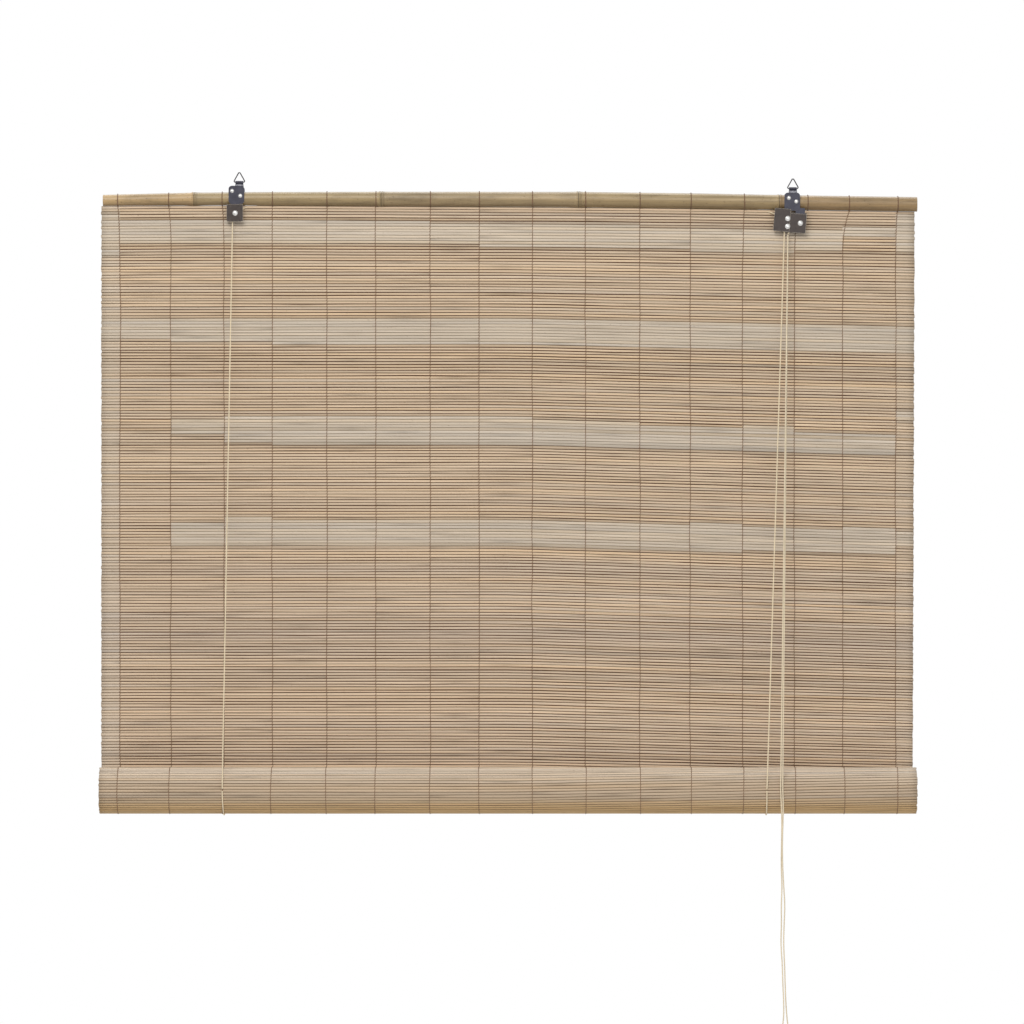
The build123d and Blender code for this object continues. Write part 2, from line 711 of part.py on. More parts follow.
# ---------------------------------------------------------------- build
def main():
    os.makedirs("parts", exist_ok=True)
    keep("head_pole", head_pole())
    keep("hanging_slats", hanging_slats())
    for i, x in enumerate(string_places(), 1):
        keep(f"warp_string_{i:02d}", warp_string(x))
    keep("pole_lashings", Compound([lashing(x) for x in lashing_places()]))
    keep("rolled_mat", rolled_mat())
    keep("bottom_lath", bottom_lath())

    keep("left_hook_ring", hook_ring(left_ring_x, left_ring_top))
    keep("right_hook_ring", hook_ring(right_ring_x, right_ring_top))
    left_strap, left_hole_z = left_hanger_strap()
    right_strap, right_hole_z = right_hanger_strap()
    keep("left_hanger_strap", left_strap)
    keep("right_hanger_strap", right_strap)
    keep("left_strap_rivets", strap_rivets(left_strap_x, left_rivet_spots))
    keep("right_strap_rivets", strap_rivets(right_strap_x, right_rivet_spots))

    case_front, case_back = left_case_faces()
    keep("left_pulley_case", left_pulley_case())
    keep("left_sheave", sheave(left_sheave_x, left_sheave_y(), left_sheave_z,
                               left_groove_radius, left_sheave_width, [0.0]))
    keep("left_axle_rivet", rivet(left_sheave_x, left_sheave_z, axle_shank, axle_head,
                                  (case_front, case_back + sheet)))

    cover, case_front, case_back = lock_faces()
    half_pitch = lock_groove_pitch / 2
    keep("lock_case", lock_case())
    keep("lock_cover_plate", lock_cover_plate())
    keep("lock_sheave", sheave(lock_sheave_x, lock_sheave_y(), lock_sheave_z,
                               lock_groove_radius, lock_sheave_width, [-half_pitch, half_pitch]))
    keep("lock_cam", lock_cam())
    through = (cover, case_back + sheet)
    keep("lock_axle_rivet", rivet(lock_sheave_x, lock_sheave_z, axle_shank, axle_head, through))
    keep("lock_cam_pin", rivet(cam_x, cam_z, axle_shank, axle_head, through))
    keep("lock_strap_rivet", rivet(lock_rivet_x, lock_rivet_z, axle_shank, axle_head,
                                   (case_front, case_back + sheet)))

    keep("left_cord_head_run", left_head_run())
    keep("right_cord_head_run", right_head_run())
    left_leaf = -leaf_y(culm_at(left_strap_x)[1])[0]
    right_leaf = -leaf_y(culm_at(right_strap_x)[1])[0]
    lift_cord("left", left_cord_x(), left_sheave_y(), case_z[0] - 0.5, left_hole_z, left_leaf,
              left_sling_front_x, left_sling_back_x)
    lift_cord("right", right_cord_x(), lock_sheave_y() - half_pitch, lock_exit_z - 0.3, right_hole_z,
              right_leaf, right_sling_x, right_sling_x)

    for side, coil_out, groove in (("left", left_coil_out, -half_pitch), ("right", right_coil_out, half_pitch)):
        route = [before_roll(*point) for point in pull_routes[side]]
        start = (lock_exit_x - joint_gap, lock_sheave_y() + groove, lock_exit_z - 3 * joint_gap)
        stop = tuple(Vector(*route[0]) + (Vector(*start) - Vector(*route[0])).normalized() * joint_gap)
        keep(f"{side}_pull_cord_upper", cord([start, stop], name=f"{side}_pull_cord_upper"))
        keep(f"{side}_pull_cord_tail", cord(route, name=f"{side}_pull_cord_tail"))
        keep(f"{side}_pull_coil", pull_coil(coil_out))
    keep("cord_tie", cord_tie())


main()
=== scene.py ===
"""Looks of the bamboo roll up blind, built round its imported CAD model.

Lengths are in metres in the row frame: +X along the head pole, +Y back to the window, +Z up.
"""

import math

import bpy
import numpy as np
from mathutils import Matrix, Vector


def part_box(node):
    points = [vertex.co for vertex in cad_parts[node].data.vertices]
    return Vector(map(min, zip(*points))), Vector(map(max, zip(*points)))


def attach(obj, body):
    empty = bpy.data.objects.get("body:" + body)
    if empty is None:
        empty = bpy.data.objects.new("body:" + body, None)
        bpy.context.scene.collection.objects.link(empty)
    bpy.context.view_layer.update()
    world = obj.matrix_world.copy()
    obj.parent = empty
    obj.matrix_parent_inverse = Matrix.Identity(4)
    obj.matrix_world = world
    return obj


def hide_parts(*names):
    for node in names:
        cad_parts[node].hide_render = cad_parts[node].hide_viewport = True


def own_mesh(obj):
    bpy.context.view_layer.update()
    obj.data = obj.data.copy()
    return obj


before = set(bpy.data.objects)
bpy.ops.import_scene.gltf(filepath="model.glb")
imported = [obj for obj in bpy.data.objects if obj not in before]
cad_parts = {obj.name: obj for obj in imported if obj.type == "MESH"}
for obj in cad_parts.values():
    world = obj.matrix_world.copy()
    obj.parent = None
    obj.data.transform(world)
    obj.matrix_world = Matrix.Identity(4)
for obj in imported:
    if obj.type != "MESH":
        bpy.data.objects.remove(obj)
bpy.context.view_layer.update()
rng = np.random.default_rng(11)
MM = 0.001
TAU = 2 * math.pi


# ---------------------------------------------------------------- places taken from the frame
def node_box(name):
    low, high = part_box(name)
    return np.array(low), np.array(high)


mat_low, mat_high = node_box("hanging_slats")
MAT_LEFT, MAT_RIGHT = mat_low[0], mat_high[0]
CAD_STRING_RADIUS = 0.5 * MM
STRING_XS = [node_box(f"warp_string_{i:02d}")[0][0] + CAD_STRING_RADIUS for i in range(1, 17)]
ROLL_RADIUS = 0.035
ROLL_Z = -0.9065
ROLL_Y = -0.0339

# Head pole: distance along it, height of its centre, outer radius
CULM = np.array([
    (-0.600, -0.0388, 0.0083),
    (-0.466, -0.0367, 0.0095),
    (-0.395, -0.0363, 0.0099),
    (-0.190, -0.0366, 0.0106),
    (0.101, -0.0375, 0.0114),
    (0.280, -0.0396, 0.0112),
    (0.400, -0.0418, 0.0109),
    (0.600, -0.0446, 0.0108),
])
CULM_NODES = [-0.466, -0.190, 0.101, 0.397]
CULM_WALL = 3 * MM
SEPTUM = 2.5 * MM          # from a node's middle to the face of its wall

# Mat
PITCH = 4.245 * MM         # from one slat to the next
HALF_THICK = 0.9 * MM
END_TRIM = 1.1 * MM        # how unevenly the slats are cut at their ends
RIGHT_TAPER = 0.0035       # how far the right edge draws in, for each metre down the mat
THREAD = 0.53 * MM         # radius of one string thread
FIRST_GAP = 0.1 * MM       # between the pole and the first slat
CORD_RADIUS = 1.0 * MM
CORD_STEP = 1.5 * MM         # between the points of a cord's line
CORD_SIDES = 9
SLING_CLEARANCE = 0.3 * MM


# ---------------------------------------------------------------- camera, light and floor
CAMERA_DISTANCE = 10.0
VIEW_SPAN = 1.5096         # width seen at the mat
VIEW_CENTRE = (0.0029, -0.4981)
FLOOR_Z = -1.36
FLOOR_RADIUS = 1.2         # small enough to stay below the camera's frame
FLOOR_SIDES = 96


def make_camera():
    data = bpy.data.cameras.new("camera")
    data.sensor_width = 36.0
    data.lens = data.sensor_width * CAMERA_DISTANCE / VIEW_SPAN
    data.clip_end = 100.0
    camera = bpy.data.objects.new("camera", data)
    camera.location = (VIEW_CENTRE[0], -CAMERA_DISTANCE, VIEW_CENTRE[1])
    camera.rotation_euler = (math.radians(90), 0, 0)
    bpy.context.scene.collection.objects.link(camera)
    bpy.context.scene.camera = camera


def area_light(name, place, aim, size, watts, tint=(1, 1, 1)):
    data = bpy.data.lights.new(name, "AREA")
    data.shape = "RECTANGLE"
    data.size, data.size_y = size
    data.energy = watts
    data.color = tint
    light = bpy.data.objects.new(name, data)
    light.location = place
    light.rotation_euler = (Vector(aim) - Vector(place)).to_track_quat("-Z", "Y").to_euler()
    bpy.context.scene.collection.objects.link(light)


def make_world():
    """White behind the object, and a softer grey light from all round."""
    world = bpy.data.worlds.new("studio")
    world.use_nodes = True
    tree = world.node_tree
    tree.nodes.clear()
    seen = tree.nodes.new("ShaderNodeBackground")
    seen.inputs["Strength"].default_value = 1.0
    seen.inputs["Color"].default_value = (1, 1, 1, 1)
    around = tree.nodes.new("ShaderNodeBackground")
    around.inputs["Color"].default_value = (1.0, 0.985, 0.96, 1)
    around.inputs["Strength"].default_value = 0.42
    ray = tree.nodes.new("ShaderNodeLightPath")
    mix = tree.nodes.new("ShaderNodeMixShader")
    out = tree.nodes.new("ShaderNodeOutputWorld")
    tree.links.new(ray.outputs["Is Camera Ray"], mix.inputs[0])
    tree.links.new(around.outputs[0], mix.inputs[1])
    tree.links.new(seen.outputs[0], mix.inputs[2])
    tree.links.new(mix.outputs[0], out.inputs["Surface"])
    bpy.context.scene.world = world


def make_stage():
    make_world()
    area_light("key", (-0.9, -3.4, 1.9), (0, 0, -0.45), (2.6, 1.8), 92, (1.0, 0.985, 0.96))
    area_light("fill", (1.6, -3.6, 0.1), (0, 0, -0.5), (2.4, 2.4), 26, (0.97, 0.985, 1.0))
    area_light("rim", (0.0, 1.6, 2.4), (0, 0, -0.5), (2.4, 1.6), 50)
    bpy.context.scene.view_settings.view_transform = "Standard"
    mesh = bpy.data.meshes.new("studio_floor")
    turns = [TAU * k / FLOOR_SIDES for k in range(FLOOR_SIDES)]
    rim = [(FLOOR_RADIUS * math.cos(a), FLOOR_RADIUS * math.sin(a), FLOOR_Z) for a in turns]
    mesh.from_pydata(rim, [], [tuple(range(FLOOR_SIDES))])
    floor = bpy.data.objects.new("studio_floor", mesh)
    bpy.context.scene.collection.objects.link(floor)
    paper = Shader("studio_paper")
    paper.set(roughness=0.9, specular=0.2)
    paper.colour((0.90, 0.90, 0.89))
    mesh.materials.append(paper.done())


# ---------------------------------------------------------------- material kit
class Shader:
    """One principled material, with short calls for the nodes that the pieces share."""

    def __init__(self, name):
        self.material = bpy.data.materials.new(name)
        self.material.use_nodes = True
        self.tree = self.material.node_tree
        self.tree.nodes.clear()
        self.out = self.node("ShaderNodeOutputMaterial")
        self.bsdf = self.node("ShaderNodeBsdfPrincipled")
        self.link(self.bsdf.outputs[0], self.out.inputs["Surface"])

    def node(self, kind, **values):
        made = self.tree.nodes.new(kind)
        for key, value in values.items():
            setattr(made, key, value)
        return made

    def link(self, a, b):
        self.tree.links.new(a, b)
        return a

    def set(self, roughness=0.5, metallic=0.0, specular=0.5, coat=0.0, sheen=0.0):
        values = {"Roughness": roughness, "Metallic": metallic, "Specular IOR Level": specular,
                  "Coat Weight": coat, "Coat Roughness": 0.25, "Sheen Weight": sheen}
        for key, value in values.items():
            self.bsdf.inputs[key].default_value = value

    def colour(self, value):
        if hasattr(value, "links"):
            self.link(value, self.bsdf.inputs["Base Color"])
        else:
            self.bsdf.inputs["Base Color"].default_value = (*value, 1)

    def place(self, scale=(1, 1, 1)):
        """Position in the object's own space, scaled."""
        where = self.node("ShaderNodeTexCoord").outputs["Object"]
        mapping = self.node("ShaderNodeMapping")
        mapping.inputs["Scale"].default_value = scale
        self.link(where, mapping.inputs["Vector"])
        return mapping.outputs["Vector"]

    def noise(self, scale, detail=3.0, roughness=0.55):
        texture = self.node("ShaderNodeTexNoise")
        texture.inputs["Scale"].default_value = 1.0
        texture.inputs["Detail"].default_value = detail
        texture.inputs["Roughness"].default_value = roughness
        self.link(self.place(scale), texture.inputs["Vector"])
        return texture.outputs["Fac"]

    def ramp(self, fac, stops):
        ramp = self.node("ShaderNodeValToRGB")
        elements = ramp.color_ramp.elements
        while len(elements) < len(stops):
            elements.new(0.5)
        for element, (at, colour) in zip(elements, stops):
            element.position = at
            element.color = (*colour, 1) if hasattr(colour, "__len__") else (colour,) * 3 + (1,)
        self.link(fac, ramp.inputs["Fac"])
        return ramp.outputs["Color"]

    def mix(self, fac, a, b, blend="MIX"):
        mix = self.node("ShaderNodeMix", data_type="RGBA", blend_type=blend)
        for socket, value in ((mix.inputs[0], fac), (mix.inputs[6], a), (mix.inputs[7], b)):
            if hasattr(value, "links"):
                self.link(value, socket)
            elif hasattr(value, "__len__"):
                socket.default_value = (*value, 1)
            else:
                socket.default_value = value
        return mix.outputs[2]

    def tone(self):
        return self.node("ShaderNodeAttribute", attribute_name="tone").outputs["Color"]

    def edge(self, radius):
        """1 on sharp edges and 0 on flat faces."""
        bevel = self.node("ShaderNodeBevel", samples=4)
        bevel.inputs["Radius"].default_value = radius
        flat = self.node("ShaderNodeNewGeometry").outputs["Normal"]
        dot = self.node("ShaderNodeVectorMath", operation="DOT_PRODUCT")
        self.link(bevel.outputs["Normal"], dot.inputs[0])
        self.link(flat, dot.inputs[1])
        return self.ramp(dot.outputs["Value"], [(0.90, 1.0), (0.995, 0.0)])

    def bump(self, height, distance, strength=1.0):
        bump = self.node("ShaderNodeBump")
        bump.inputs["Strength"].default_value = strength
        bump.inputs["Distance"].default_value = distance
        self.link(height, bump.inputs["Height"])
        self.link(bump.outputs["Normal"], self.bsdf.inputs["Normal"])

    def rough(self, fac, low, high):
        spread = self.node("ShaderNodeMapRange")
        spread.inputs["To Min"].default_value = low
        spread.inputs["To Max"].default_value = high
        self.link(fac, spread.inputs["Value"])
        self.link(spread.outputs["Result"], self.bsdf.inputs["Roughness"])

    def done(self):
        return self.material


def srgb(red, green, blue):
    """Linear colour from 0-255 display values."""
    parts = [v / 255 for v in (red, green, blue)]
    return np.array([v / 12.92 if v <= 0.04045 else ((v + 0.055) / 1.055) ** 2.4 for v in parts])


# ---------------------------------------------------------------- materials
def slat_material(name):
    """Split bamboo: fibres run along the slat, over the tone of each slat."""
    m = Shader(name)
    fibre = m.noise((9, 1500, 1500), detail=4, roughness=0.65)
    streak = m.noise((5, 420, 420), detail=2)
    tone = m.mix(1.0, m.tone(), m.ramp(fibre, [(0.25, 0.80), (0.5, 1.0), (0.78, 1.13)]), "MULTIPLY")
    tone = m.mix(0.8, tone, m.ramp(streak, [(0.3, 0.90), (0.7, 1.07)]), "MULTIPLY")
    speck = m.noise((260, 900, 900), detail=1)
    tone = m.mix(m.ramp(speck, [(0.70, 0.0), (0.78, 0.55)]), tone, (0.20, 0.12, 0.06))
    m.colour(tone)
    m.set(roughness=0.6, specular=0.35)
    m.rough(streak, 0.5, 0.72)
    m.bump(fibre, 0.12 * MM, 0.7)
    return m.done()


def culm_material():
    """Bamboo skin: long streaks, blotches and freckles."""
    m = Shader("culm_skin")
    streak = m.noise((4, 260, 260), detail=4, roughness=0.6)
    blotch = m.noise((22, 90, 90), detail=3, roughness=0.6)
    fibre = m.noise((12, 1300, 1300), detail=2)
    tone = m.mix(1.0, m.tone(), m.ramp(streak, [(0.30, 0.78), (0.5, 1.0), (0.72, 1.12)]), "MULTIPLY")
    tone = m.mix(m.ramp(blotch, [(0.50, 0.0), (0.72, 0.5)]), tone, (0.19, 0.135, 0.07))
    tone = m.mix(0.7, tone, m.ramp(fibre, [(0.3, 0.9), (0.7, 1.06)]), "MULTIPLY")
    stain = m.noise((9, 60, 60), detail=4, roughness=0.7)
    tone = m.mix(0.8, tone, m.ramp(stain, [(0.34, 0.78), (0.5, 1.0), (0.66, 1.16)]), "MULTIPLY")
    freckle = m.noise((420, 620, 620), detail=0)
    tone = m.mix(m.ramp(freckle, [(0.73, 0.0), (0.79, 0.6)]), tone, (0.12, 0.07, 0.03))
    m.colour(tone)
    m.set(roughness=0.4, specular=0.45, coat=0.12)
    m.rough(blotch, 0.34, 0.52)
    m.bump(fibre, 0.10 * MM, 0.5)
    return m.done()


def cord_material(name, colour):
    m = Shader(name)
    fibre = m.noise((1700, 1700, 700), detail=3, roughness=0.7)
    soil = m.noise((60, 60, 25), detail=2)
    tone = m.mix(1.0, tuple(colour), m.ramp(fibre, [(0.3, 0.82), (0.7, 1.08)]), "MULTIPLY")
    tone = m.mix(0.6, tone, m.ramp(soil, [(0.35, 0.90), (0.65, 1.04)]), "MULTIPLY")
    m.colour(tone)
    m.set(roughness=0.85, specular=0.2, sheen=0.25)
    m.bump(fibre, 0.12 * MM, 0.8)
    return m.done()


def thread_material():
    m = Shader("brown_thread")
    fibre = m.noise((2600, 2600, 1100), detail=2, roughness=0.7)
    m.colour(m.ramp(fibre, [(0.25, srgb(96, 69, 49)), (0.55, srgb(131, 99, 74)), (0.8, srgb(162, 128, 98))]))
    m.set(roughness=0.8, specular=0.25, sheen=0.2)
    m.bump(fibre, 0.08 * MM, 0.8)
    return m.done()


def painted_metal(name, colour, wear_and_highlight_colour, edge_radius):
    """Painted sheet metal with lighter scratches, and lighter along its edges: partly rubbed wear, partly a
    painted highlight.
    """
    m = Shader(name)
    cloud = m.noise((140, 140, 140), detail=3)
    grain = m.noise((1500, 1500, 1500), detail=2)
    tone = m.mix(1.0, tuple(colour), m.ramp(cloud, [(0.3, 0.84), (0.7, 1.14)]), "MULTIPLY")
    scratch = m.noise((2600, 300, 190), detail=1)
    tone = m.mix(m.ramp(scratch, [(0.72, 0.0), (0.80, 0.35)]), tone, tuple(wear_and_highlight_colour))
    # Edge mask: partly rubbed wear, partly a painted highlight where the edges would catch the light
    tone = m.mix(m.edge(edge_radius), tone, tuple(wear_and_highlight_colour))
    m.colour(tone)
    m.set(roughness=0.4, metallic=0.35, specular=0.5)
    m.rough(cloud, 0.30, 0.48)
    m.bump(grain, 0.03 * MM, 0.6)
    return m.done()


def nickel_material():
    m = Shader("nickel")
    cloud = m.noise((500, 500, 500), detail=2)
    m.colour(m.ramp(cloud, [(0.3, srgb(232, 231, 229)), (0.7, srgb(250, 250, 249))]))
    m.set(roughness=0.25, metallic=0.55)
    m.rough(cloud, 0.16, 0.36)
    m.bump(cloud, 0.02 * MM, 0.4)
    return m.done()


def wire_material():
    m = Shader("blued_wire")
    cloud = m.noise((900, 900, 900), detail=2)
    m.colour(m.ramp(cloud, [(0.3, srgb(52, 50, 54)), (0.75, srgb(92, 90, 94))]))
    m.set(roughness=0.35, metallic=0.9)
    m.rough(cloud, 0.25, 0.45)
    m.bump(cloud, 0.02 * MM, 0.5)
    return m.done()


def nylon_material():
    m = Shader("nylon")
    cloud = m.noise((700, 700, 700), detail=2)
    m.colour(m.ramp(cloud, [(0.3, srgb(214, 208, 194)), (0.7, srgb(232, 228, 216))]))
    m.set(roughness=0.45, specular=0.45)
    m.bump(cloud, 0.02 * MM, 0.3)
    return m.done()


# ---------------------------------------------------------------- mesh kit
def mesh_object(name, parts, material, body):
    """One object from several (points, quads, triangles, tones) parts."""
    points, corners, sizes, tones = [], [], [], []
    base = 0
    for part_points, quads, triangles, part_tones in parts:
        points.append(part_points)
        tones.append(part_tones)
        for faces, size in ((quads, 4), (triangles, 3)):
            faces = np.asarray(faces, int).reshape(-1, size)
            corners.append((faces + base).ravel())
            sizes.append(np.full(len(faces), size))
        base += len(part_points)
    points, corners, sizes = np.concatenate(points), np.concatenate(corners), np.concatenate(sizes)
    mesh = bpy.data.meshes.new(name)
    mesh.vertices.add(len(points))
    mesh.vertices.foreach_set("co", points.astype(np.float32).ravel())
    mesh.loops.add(len(corners))
    mesh.loops.foreach_set("vertex_index", corners.astype(np.int32))
    mesh.polygons.add(len(sizes))
    starts = np.concatenate([[0], np.cumsum(sizes)[:-1]])
    mesh.polygons.foreach_set("loop_start", starts.astype(np.int32))
    mesh.update(calc_edges=True)
    mesh.shade_smooth()
    if tones[0] is not None:
        layer = mesh.color_attributes.new("tone", "FLOAT_COLOR", "POINT")
        rgb = np.concatenate(tones)
        layer.data.foreach_set("color", np.column_stack([rgb, np.ones(len(rgb))]).astype(np.float32).ravel())
    mesh.materials.append(material)
    piece = bpy.data.objects.new(name, mesh)
    bpy.context.scene.collection.objects.link(piece)
    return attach(piece, body)


def ring_quads(rows, sides):
    """Quads between successive closed rings of points."""
    i, j = np.meshgrid(np.arange(rows - 1), np.arange(sides), indexing="ij")
    step = (j + 1) % sides
    quads = np.stack([i * sides + j, (i + 1) * sides + j, (i + 1) * sides + step, i * sides + step], -1)
    return quads.reshape(-1, 4)


def end_fans(rows, sides):
    """Triangles that close the first and the last ring."""
    k = np.arange(1, sides - 1)
    first = np.stack([np.zeros_like(k), k, k + 1], -1)
    last = np.stack([np.zeros_like(k), k + 1, k], -1) + (rows - 1) * sides
    return np.concatenate([first, last])


def unit(v):
    return v / np.maximum(np.linalg.norm(v, axis=-1, keepdims=True), 1e-12)


def carried_frames(line):
    """Two directions across a line at each of its points, carried along it without twist."""
    along = unit(np.gradient(line, axis=0))
    side = np.cross(along[0], (0.31, 0.47, 0.83))
    sides = []
    for direction in along:
        side = unit(side - direction * (side @ direction))
        sides.append(side)
    sides = np.array(sides)
    return sides, np.cross(along, sides)


def tube(line, radius, sides, across=None, strands=0, lay=0.0, ridge=0.0):
    """A closed tube; strands gives it the ridges of a laid cord."""
    if across is None:
        u, v = carried_frames(line)
    else:
        along = unit(np.gradient(line, axis=0))
        u = unit(across - along * (along @ across)[:, None])
        v = np.cross(along, u)
    turn = np.arange(sides) * TAU / sides
    reach = np.full((len(line), sides), radius)
    if strands:
        run = np.concatenate([[0], np.cumsum(np.linalg.norm(np.diff(line, axis=0), axis=1))])
        wave = np.abs(np.sin(strands / 2 * (turn[None, :] - TAU * run[:, None] / lay)))
        reach = radius - ridge * (1 - wave)
    ring = u[:, None] * np.cos(turn)[None, :, None] + v[:, None] * np.sin(turn)[None, :, None]
    points = (line[:, None] + ring * reach[..., None]).reshape(-1, 3)
    quads = ring_quads(len(line), sides)[:, ::-1]
    fans = end_fans(len(line), sides)
    return points, quads, fans[:, ::-1], None


def smooth_noise(rows, places, spacing, amount):
    """For each row, a smooth random curve read at the places along x."""
    knots = np.arange(MAT_LEFT - spacing, MAT_RIGHT + 2 * spacing, spacing)
    values = rng.normal(0, amount, (rows, len(knots)))
    at = (places - knots[0]) / spacing
    low = at.astype(int)
    share = at - low
    share = share * share * (3 - 2 * share)
    return values[:, low] * (1 - share) + values[:, low + 1] * share


# ---------------------------------------------------------------- cords
def spline_line(route):
    """Points along the smooth cord line whose control points are the route."""
    curve = bpy.data.curves.new("route", "CURVE")
    curve.dimensions = "3D"
    curve.resolution_u = 8
    spline = curve.splines.new("NURBS")
    spline.points.add(len(route) - 1)
    for point, place in zip(spline.points, route):
        point.co = (*place, 1)
    spline.order_u = 3
    spline.use_endpoint_u = True
    holder = bpy.data.objects.new("route", curve)
    mesh = bpy.data.meshes.new_from_object(holder)
    line = np.array([v.co for v in mesh.vertices], float)
    bpy.data.meshes.remove(mesh)
    bpy.data.objects.remove(holder)
    bpy.data.curves.remove(curve)
    return line


def evenly(line, step):
    """The same line with points one step apart."""
    run = np.concatenate([[0], np.cumsum(np.linalg.norm(np.diff(line, axis=0), axis=1))])
    at = np.linspace(0, run[-1], max(3, int(run[-1] / step)))
    return np.stack([np.interp(at, run, line[:, k]) for k in range(3)], -1)


def cord_tube(line):
    """The closed surface of a three-strand cord."""
    return tube(line, CORD_RADIUS, CORD_SIDES, strands=3, lay=9 * MM, ridge=0.16 * MM)


def laid_cord(name, route, material, body, node=None, step=CORD_STEP):
    """A three-strand cord along a route; returns its piece and its centre line."""
    line = evenly(spline_line(route), step)
    piece = mesh_object(name, [cord_tube(line)], material, body)
    if node:
        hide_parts(node)
    return piece, line


def overhand_knot(centre, size, turn=0.0):
    """A tube along a trefoil line, drawn tight."""
    t = np.linspace(0, TAU, 90)
    x = (2 + np.cos(3 * t)) * np.cos(2 * t)
    y = (2 + np.cos(3 * t)) * np.sin(2 * t)
    z = 1.6 * np.sin(3 * t)
    line = np.stack([x * math.cos(turn) - z * math.sin(turn), y, x * math.sin(turn) + z * math.cos(turn)], -1)
    return np.array(centre) + line * size / 3


# Pull cords: place along the pole, distance out from the roll's front, distance below the roll's axis
PULL_ROUTES = {
    "left": [
        (396.2, 1.5, -3.4),
        (397.0, 1.7, 17.0),
        (398.0, 1.8, 42.0),
        (397.6, 1.7, 76.0),
        (396.9, 1.9, 110.0),
        (398.3, 1.7, 140.0),
        (397.0, 1.9, 168.0),
        (397.4, 2.2, 196.0),
        (396.3, 2.0, 222.0),
        (398.6, 2.2, 254.0),
        (399.3, 2.4, 282.0),
        (400.6, 2.7, 308.0),
        (400.7, 3.7, 330.0),
        (398.6, 6.5, 345.0),
        (394.0, 7.7, 357.0),
    ],
    "right": [
        (399.2, 1.5, -3.4),
        (400.0, 2.5, 17.0),
        (399.6, 4.0, 42.0),
        (398.4, 4.3, 76.0),
        (398.9, 4.1, 110.0),
        (400.6, 3.3, 140.0),
        (402.4, 2.3, 168.0),
        (401.2, 2.0, 196.0),
        (400.3, 1.9, 222.0),
        (401.9, 2.0, 254.0),
        (402.7, 1.9, 282.0),
        (403.6, 1.6, 308.0),
        (405.2, 0.6, 330.0),
        (407.0, -2.1, 345.0),
        (411.2, -3.6, 357.0),
    ],
}


def before_roll(x, out, down):
    """A place in metres, given in millimetres from the roll's front and axis."""
    return x * MM, ROLL_Y - ROLL_RADIUS - out * MM, ROLL_Z - down * MM


COIL_LAYERS = 5
COIL_TURNS_A_LAYER = 4.1
COIL_SPACING = 2.06 * MM
COIL_POINTS_A_TURN = 14
COIL_MIDDLE = 11.0 * MM
COIL_CROSSING = 0.86       # share of a layer's turns after which the cord drops to the next layer


def coil_points(centre, start_angle, way):
    """Turns of a neat coil, wound from its outer layer inwards and to and fro across its width."""
    outer = COIL_MIDDLE + (COIL_LAYERS - 1) / 2 * COIL_SPACING
    half_width = COIL_TURNS_A_LAYER * COIL_SPACING / 2
    points = []
    for k in range(1, int(COIL_LAYERS * COIL_TURNS_A_LAYER * COIL_POINTS_A_TURN) + 1):
        turns = k / COIL_POINTS_A_TURN
        layer = min(int(turns / COIL_TURNS_A_LAYER), COIL_LAYERS - 1)
        within = turns / COIL_TURNS_A_LAYER - layer
        crossing = min(1.0, max(0.0, (within - COIL_CROSSING) / (1 - COIL_CROSSING)))
        inward = crossing if layer < COIL_LAYERS - 1 else 0.0
        radius = outer - (layer + inward) * COIL_SPACING
        across = (2 * within - 1) * half_width * (1 if layer % 2 == 0 else -1)
        angle = start_angle + way * TAU * turns
        points.append((
            centre[0] + radius * math.cos(angle),
            centre[1] + across,
            centre[2] + radius * math.sin(angle),
        ))
    return points


LOCK_EXIT_X = 0.4093
LOCK_EXIT_Y = -0.008742       # midway between the lock's two grooves
LOCK_GROOVE_OUT = 1.55 * MM


def pull_cords(material):
    """The two pull cords: a taut run down to the roll's front, then a tail and its coil."""
    for side, way in (("left", 1), ("right", -1)):
        _, high = node_box(f"{side}_pull_cord_upper")
        route = [before_roll(*point) for point in PULL_ROUTES[side]]
        groove = -LOCK_GROOVE_OUT if side == "left" else LOCK_GROOVE_OUT
        top = (LOCK_EXIT_X, LOCK_EXIT_Y + groove, float(high[2]) - 0.1 * MM)
        foot = route[0]
        halfway = [tuple(a + (b - a) * s for a, b in zip(top, foot)) for s in (0.03, 0.5, 0.97)]
        upper, line = laid_cord(f"{side}_pull_cord_run", [top, *halfway, foot], material,
                                "head", f"{side}_pull_cord_upper")
        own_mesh(upper)
        low, high = node_box(f"{side}_pull_coil")
        centre = (low + high) / 2
        last = np.array(route[-1]) - centre
        start = math.atan2(last[2], last[0])
        path = route + coil_points(centre, start + way * 0.12, way)
        line = evenly(spline_line(path), CORD_STEP)
        tail = mesh_object(f"{side}_pull_cord", [cord_tube(line)], material, "slings")
        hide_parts(f"{side}_pull_cord_tail", f"{side}_pull_coil")
        knot_line = evenly(overhand_knot(line[-1], 2.4 * MM, 0.6), 0.8 * MM)
        knot = mesh_object(f"{side}_pull_cord_end_knot", [tube(knot_line, 0.9 * MM, 8)], material,
                           "slings")


def coil_tie(material):
    """Three turns of cord round both coils, at their top."""
    low, high = node_box("cord_tie")
    centre, half = (low + high) / 2, (high - low) / 2
    points = []
    turns, steps = 3, 28
    for k in range(turns * steps + 1):
        angle = TAU * k / steps + 0.7
        c, s = math.cos(angle), math.sin(angle)
        y = centre[1] + half[1] * math.copysign(abs(c) ** 0.35, c)
        z = centre[2] + (half[2] - 0.3 * MM) * math.copysign(abs(s) ** 0.55, s)
        x = centre[0] + (k / (turns * steps) - 0.5) * 4.2 * MM
        points.append((x, y, z))
    laid_cord("coil_tie", points, material, "slings", "cord_tie", 1.0 * MM)


